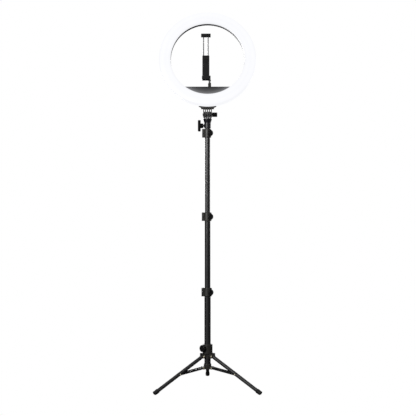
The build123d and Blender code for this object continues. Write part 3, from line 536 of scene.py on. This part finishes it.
def dial_marks(bm):
    """Printed marks round the two dials: a tick for each tenth, every fifth one longer."""
    sweep, tenths = 280, 10
    for side in (-1, 1):
        for step in range(tenths + 1):
            angle = 90 + sweep / 2 - sweep * step / tenths
            length, reach = (2.0 * MM, 14.6 * MM) if step % 5 else (3.4 * MM, 15.4 * MM)
            place = moved(spun(on_print(side * DIAL_X, 0), math.radians(angle)), reach, 0)
            raised(bm, place, rounded_rect(length, 0.6 * MM, 0.2 * MM, 2), PRINT)


def sun_mark(bm, x, y, size):
    """A round dot with eight rays, the usual sign for brightness."""
    place = on_print(x, y)
    ray = rounded_rect(size * 0.32, size * 0.14, size * 0.05, 2)
    raised(bm, place, arc(0, 0, size * 0.42, 0, 345, 23), PRINT)
    for step in range(8):
        raised(bm, moved(spun(place, math.tau * step / 8), size * 0.8, 0), ray, PRINT)


def power_mark(bm, x, y, size):
    """A broken ring with a bar, the usual sign for power."""
    place = on_print(x, y)
    outline = [(size * 0.7, 0), (size, 0), (size, PRINT), (size * 0.7, PRINT)]
    bar = rounded_rect(size * 0.3, size, size * 0.1, 2)
    lathe(bm, place, outline, 36, math.radians(125), math.radians(290))
    raised(bm, moved(place, 0, size * 0.75), bar, PRINT)


def half_moon_mark(bm, x, y, size):
    """A ring with a filled half, the usual sign for colour temperature."""
    place = on_print(x, y)
    lathe(bm, place, [(size * 0.8, 0), (size, 0), (size, PRINT), (size * 0.8, PRINT)], 36)
    raised(bm, place, arc(0, 0, size * 0.6, -90, 90, 14), PRINT)


def signs(bm):
    """The signs over the dials and the button."""
    over = 22 * MM
    sun_mark(bm, DIAL_X, over, 2.6 * MM)
    half_moon_mark(bm, -DIAL_X, over, 2.2 * MM)
    power_mark(bm, 0, 12.5 * MM, 2.0 * MM)


def box_rim(bm):
    """A thin raised line round the control box's back face."""
    border, corner, foot, top = 6.5 * MM, 9 * MM, -0.2 * MM, 0.45 * MM
    width = COVER_HIGH.x - COVER_LOW.x - 2 * border
    height = COVER_HIGH.z - COVER_LOW.z - 2 * border
    place = moved(BOX_PLACE, 0, (COVER_HIGH.z + COVER_LOW.z) / 2 - DIAL_Z)
    loops = []
    for inset, z in ((0, foot), (0.25 * MM, top), (0.95 * MM, top), (1.2 * MM, foot)):
        outline = rounded_rect(width - 2 * inset, height - 2 * inset, corner - inset, 6)
        loops.append([bm.verts.new(place @ Vector((x, y, z))) for x, y in outline])
    count = len(loops[0])
    for here, there in zip(loops, loops[1:] + loops[:1]):
        for i in range(count):
            j = (i + 1) % count
            bm.faces.new((here[i], here[j], there[j], there[i]))


def lamp(bm):
    """The small domed lamp beside the button."""
    beside, radius, foot, axis = 16 * MM, 1.3 * MM, -0.3 * MM, 0.01 * MM
    dome = arc(0, 0.2 * MM, radius, 0, 88, 6)
    outline = [(radius + 0.1 * MM, foot)] + dome + [(axis, foot)]
    lathe(bm, moved(BOX_PLACE, beside, 0), outline, 24)


def pointer(node):
    """A maker of the printed line on a dial knob's end face."""
    low, high = local_box(node, HEAD)
    radius = (high.x - low.x) / 2
    centre = Vector(((low.x + high.x) / 2, high.y, (low.z + high.z) / 2))
    place = moved(HEAD @ facing(centre, (0, 1, 0)), 0, 0.62 * radius, -PRINT / 2)

    def make(bm):
        raised(bm, place, rounded_rect(1.0 * MM, 4.6 * MM, 0.3 * MM, 2), PRINT)
    return make


add_piece("dial_marks", "head", "marking", dial_marks)
add_piece("control_signs", "head", "marking", signs)
add_piece("box_rim", "head", "housing_black", box_rim)
add_piece("power_lamp", "head", "indicator", lamp)
add_piece("dimmer_pointer", "dimmer", "marking", pointer("dimmer_knob"))
add_piece("colour_pointer", "colour", "marking", pointer("colour_knob"))


# ---------------------------------------------------- collars, legs and feet

def hex_head(bm, place, across, height):
    """A six-sided bolt head or nut with a crown on it and a washer under it."""
    flat, thick = across / 2, 0.5 * MM
    sides = arc(0, 0, flat / math.cos(math.radians(30)), 0, 300, 5)
    crown = arc(0, 0, flat * 0.86, 0, 345, 23)
    washer = [(flat * 0.4, 0), (flat * 1.25, 0), (flat * 1.25, thick), (flat * 0.4, thick)]
    raised(bm, place, sides, height, 0.35 * MM)
    raised(bm, moved(place, 0, 0, height - 0.05 * MM), crown, 0.3 * MM, 0.15 * MM)
    lathe(bm, place, washer, 32)


def clamp_bolt(number):
    """A maker of the bolt head and nut on a collar's two lugs."""
    node = f"collar_{number}"
    low, high = local_box(node, POLE)
    lug_length = 9 * MM
    lug_half = max(p.y for p in local_points(node, POLE) if p.x < low.x + lug_length)
    lug_x, middle = low.x + lug_length / 2, (low.z + high.z) / 2

    def make(bm):
        for side, height in ((-1, 2.2 * MM), (1, 2.6 * MM)):
            place = facing(Vector((lug_x, side * (lug_half - 0.1 * MM), middle)), (0, side, 0))
            hex_head(bm, POLE @ place, 7 * MM, height)
    return make


def grip_ribs(number):
    """A maker of the moulded ribs down a collar's right and rear side."""
    low, high = local_box(f"collar_{number}", POLE)
    radius = high.x - 0.15 * MM
    middle, length = (low.z + high.z) / 2, high.z - low.z - 12 * MM
    count, first, pitch = 9, 4, 16
    rib = rounded_rect(1.6 * MM, length, 0.7 * MM)

    def make(bm):
        for step in range(count):
            angle = math.radians(first + pitch * step)
            out = Vector((math.cos(angle), math.sin(angle), 0))
            place = POLE @ facing(Vector((0, 0, middle)) + out * radius, out)
            raised(bm, place, rib, 0.85 * MM, 0.3 * MM)
    return make


for number, body in ((1, "root"), (2, "section_2"), (3, "section_3")):
    add_piece(f"collar_{number}_bolt", body, "screw_steel", clamp_bolt(number))
    add_piece(f"collar_{number}_ribs", body, "black_nylon", grip_ribs(number))


def leg_axis(name):
    """A leg's pivot point and the direction down the leg."""
    pivot = Vector(JOINTS[f"leg_{name}_pivot"]["pos_m"])
    points = [vertex.co for vertex in frame["nodes"][f"leg_{name}"].data.vertices]
    return pivot, (sum(points, Vector()) / len(points) - pivot).normalized()


def boot_ribs(name):
    """A maker of the four ribs round a foot's rubber boot, near its mouth."""
    pivot, along = leg_axis(name)
    boot = frame["nodes"][f"foot_{name}"].data.vertices
    mouth = min((vertex.co - pivot).dot(along) for vertex in boot)
    root, crest = 10.2 * MM, 11.05 * MM
    first, pitch = 2.2 * MM, 3.2 * MM
    rib = [(root, -0.9 * MM), (crest, -0.4 * MM), (crest, 0.4 * MM), (root, 0.9 * MM)]

    def make(bm):
        for step in range(4):
            place = facing(pivot + along * (mouth + first + pitch * step), along)
            lathe(bm, place, rib, 40)
    return make


for name in ("front_left", "front_right", "rear"):
    add_piece(f"foot_{name}_ribs", f"leg_{name}", "rubber_black", boot_ribs(name))


# ------------------------------------------------------------ tablet holder

def pad_ribs(node, side):
    """A maker of the grip ribs on a jaw pad's bearing face, its top (1) or its underside (-1)."""
    low, high = local_box(node, HEAD)
    middle = Vector(((low.x + high.x) / 2, (low.y + high.y) / 2, high.z if side > 0 else low.z))
    count = 11
    pitch = (high.x - low.x - 3 * MM) / (count - 1)
    rib = rounded_rect(1.3 * MM, high.y - low.y - 1.6 * MM, 0.5 * MM)
    place = HEAD @ facing(middle, (0, 0, side), (0, 1, 0))

    def make(bm):
        for step in range(count):
            across = (step - (count - 1) / 2) * pitch
            raised(bm, moved(place, across, 0, -0.1 * MM), rib, 0.45 * MM, 0.15 * MM)
    return make


def spine_faces(top):
    """The depths of the spine's front and back, measured near its top."""
    near_top = [p.y for p in local_points("holder_frame", HEAD) if p.z > top - 30 * MM]
    return min(near_top), max(near_top)


def spine_relief(bm):
    """Raised border and grip lines on the front and back of the holder's spine."""
    top = local_box("holder_frame", HEAD)[1].z
    rod_low, rod_high = local_box("guide_rods", HEAD)
    bottom = rod_low.z
    front, back = spine_faces(top)
    width, height = 25 * MM, top - bottom - 22 * MM
    border = rounded_rect(1.2 * MM, height, 0.5 * MM)
    grip = rounded_rect(17 * MM, 1.3 * MM, 0.6 * MM)
    for y, face in ((front, -1), (back, 1)):
        centre = Vector(((rod_low.x + rod_high.x) / 2, y, (top + bottom) / 2))
        place = moved(HEAD @ facing(centre, (0, face, 0)), 0, 0, -0.1 * MM)
        for side in (-1, 1):
            raised(bm, moved(place, side * width / 2, 0), border, 0.6 * MM, 0.2 * MM)
        for step in range(7):
            down = (4 + 3.4 * step) * MM
            raised(bm, moved(place, 0, height / 2 - down), grip, 0.6 * MM, 0.2 * MM)


add_piece("lower_pad_ribs", "holder", "pad_rubber", pad_ribs("lower_jaw_pad", 1))
add_piece("upper_pad_ribs", "jaw", "pad_rubber", pad_ribs("upper_jaw_pad", -1))
add_piece("spine_relief", "holder", "holder_black", spine_relief)


# -------------------------------------------------------------------- stage

CAMERA_DISTANCE = 4.0       # metres in front of the pole
CAMERA_HEIGHT = 0.891
CAMERA_SIDE = 0.0022
CAMERA_LENS = 69.9          # millimetres, on the sensor's width below
SENSOR_WIDTH = 36


def add_camera():
    """A level camera in front of the pole."""
    data = bpy.data.cameras.new("camera")
    data.lens = CAMERA_LENS
    data.sensor_width = SENSOR_WIDTH
    camera = bpy.data.objects.new("camera", data)
    camera.location = POLE @ Vector((CAMERA_SIDE, -CAMERA_DISTANCE, CAMERA_HEIGHT))
    camera.rotation_euler = (math.radians(90), 0, 0)
    bpy.context.scene.collection.objects.link(camera)
    bpy.context.scene.camera = camera


def add_world():
    """A white backdrop for the camera, and a dim studio for everything else."""
    world = bpy.data.worlds.new("studio")
    world.use_nodes = True
    tree = world.node_tree
    path = new_node(tree, "ShaderNodeLightPath")
    colour = mixed(tree, path.outputs["Is Camera Ray"], (0.032, 0.032, 0.034), (1, 1, 1))
    tree.links.new(colour, tree.nodes["Background"].inputs["Color"])
    bpy.context.scene.world = world


def add_light(name, kind, place, target, power):
    """A light at a place, aimed at a point."""
    data = bpy.data.lights.new(name, kind)
    data.energy = power
    light = bpy.data.objects.new(name, data)
    light.location = place
    aim = Vector(target) - Vector(place)
    light.rotation_euler = aim.to_track_quat("-Z", "Y").to_euler()
    bpy.context.scene.collection.objects.link(light)
    return data


def soft_box(name, place, target, size, power):
    """A rectangular soft box."""
    data = add_light(name, "AREA", place, target, power)
    data.shape = "RECTANGLE"
    data.size, data.size_y = size


def add_lights():
    """An overhead light, a key at the front left, a fill at the right and two soft boxes behind."""
    overhead = add_light("overhead", "SUN", (0, -1, 4), (0, 0, 0), 0.8)
    overhead.angle = math.radians(60)
    soft_box("key", (-1.45, -2.45, 1.6), (0, 0, 1.1), (1.2, 1.3), 78)
    soft_box("fill", (2.6, -1.6, 1.3), (0, 0, 0.8), (0.5, 1.6), 9)
    soft_box("back", (-0.45, 2.9, 1.8), (0, 0, 1.0), (0.9, 1.6), 55)
    soft_box("back_right", (2.4, 2.0, 1.5), (0, 0, 1.0), (0.6, 1.6), 22)


def add_floor():
    """A plain white floor that glows as white as the backdrop, so no seam shows between them."""
    half = 12.0
    corners = [(-half, -half, 0), (half, -half, 0), (half, half, 0), (-half, half, 0)]
    mesh = bpy.data.meshes.new("floor")
    mesh.from_pydata(corners, [], [(0, 1, 2, 3)])
    material = bpy.data.materials.new("floor")
    material.use_nodes = True
    shader = material.node_tree.nodes["Principled BSDF"]
    shader.inputs["Base Color"].default_value = (0, 0, 0, 1)
    shader.inputs["Roughness"].default_value = 0.9
    shader.inputs["Specular IOR Level"].default_value = 0.0
    shader.inputs["Emission Color"].default_value = (1, 1, 1, 1)
    shader.inputs["Emission Strength"].default_value = 1.0
    mesh.materials.append(material)
    floor = bpy.data.objects.new("floor", mesh)
    floor.visible_diffuse = False
    floor.visible_glossy = False
    bpy.context.scene.collection.objects.link(floor)


add_camera()
add_world()
add_lights()
add_floor()
bpy.context.scene.view_settings.view_transform = "Standard"
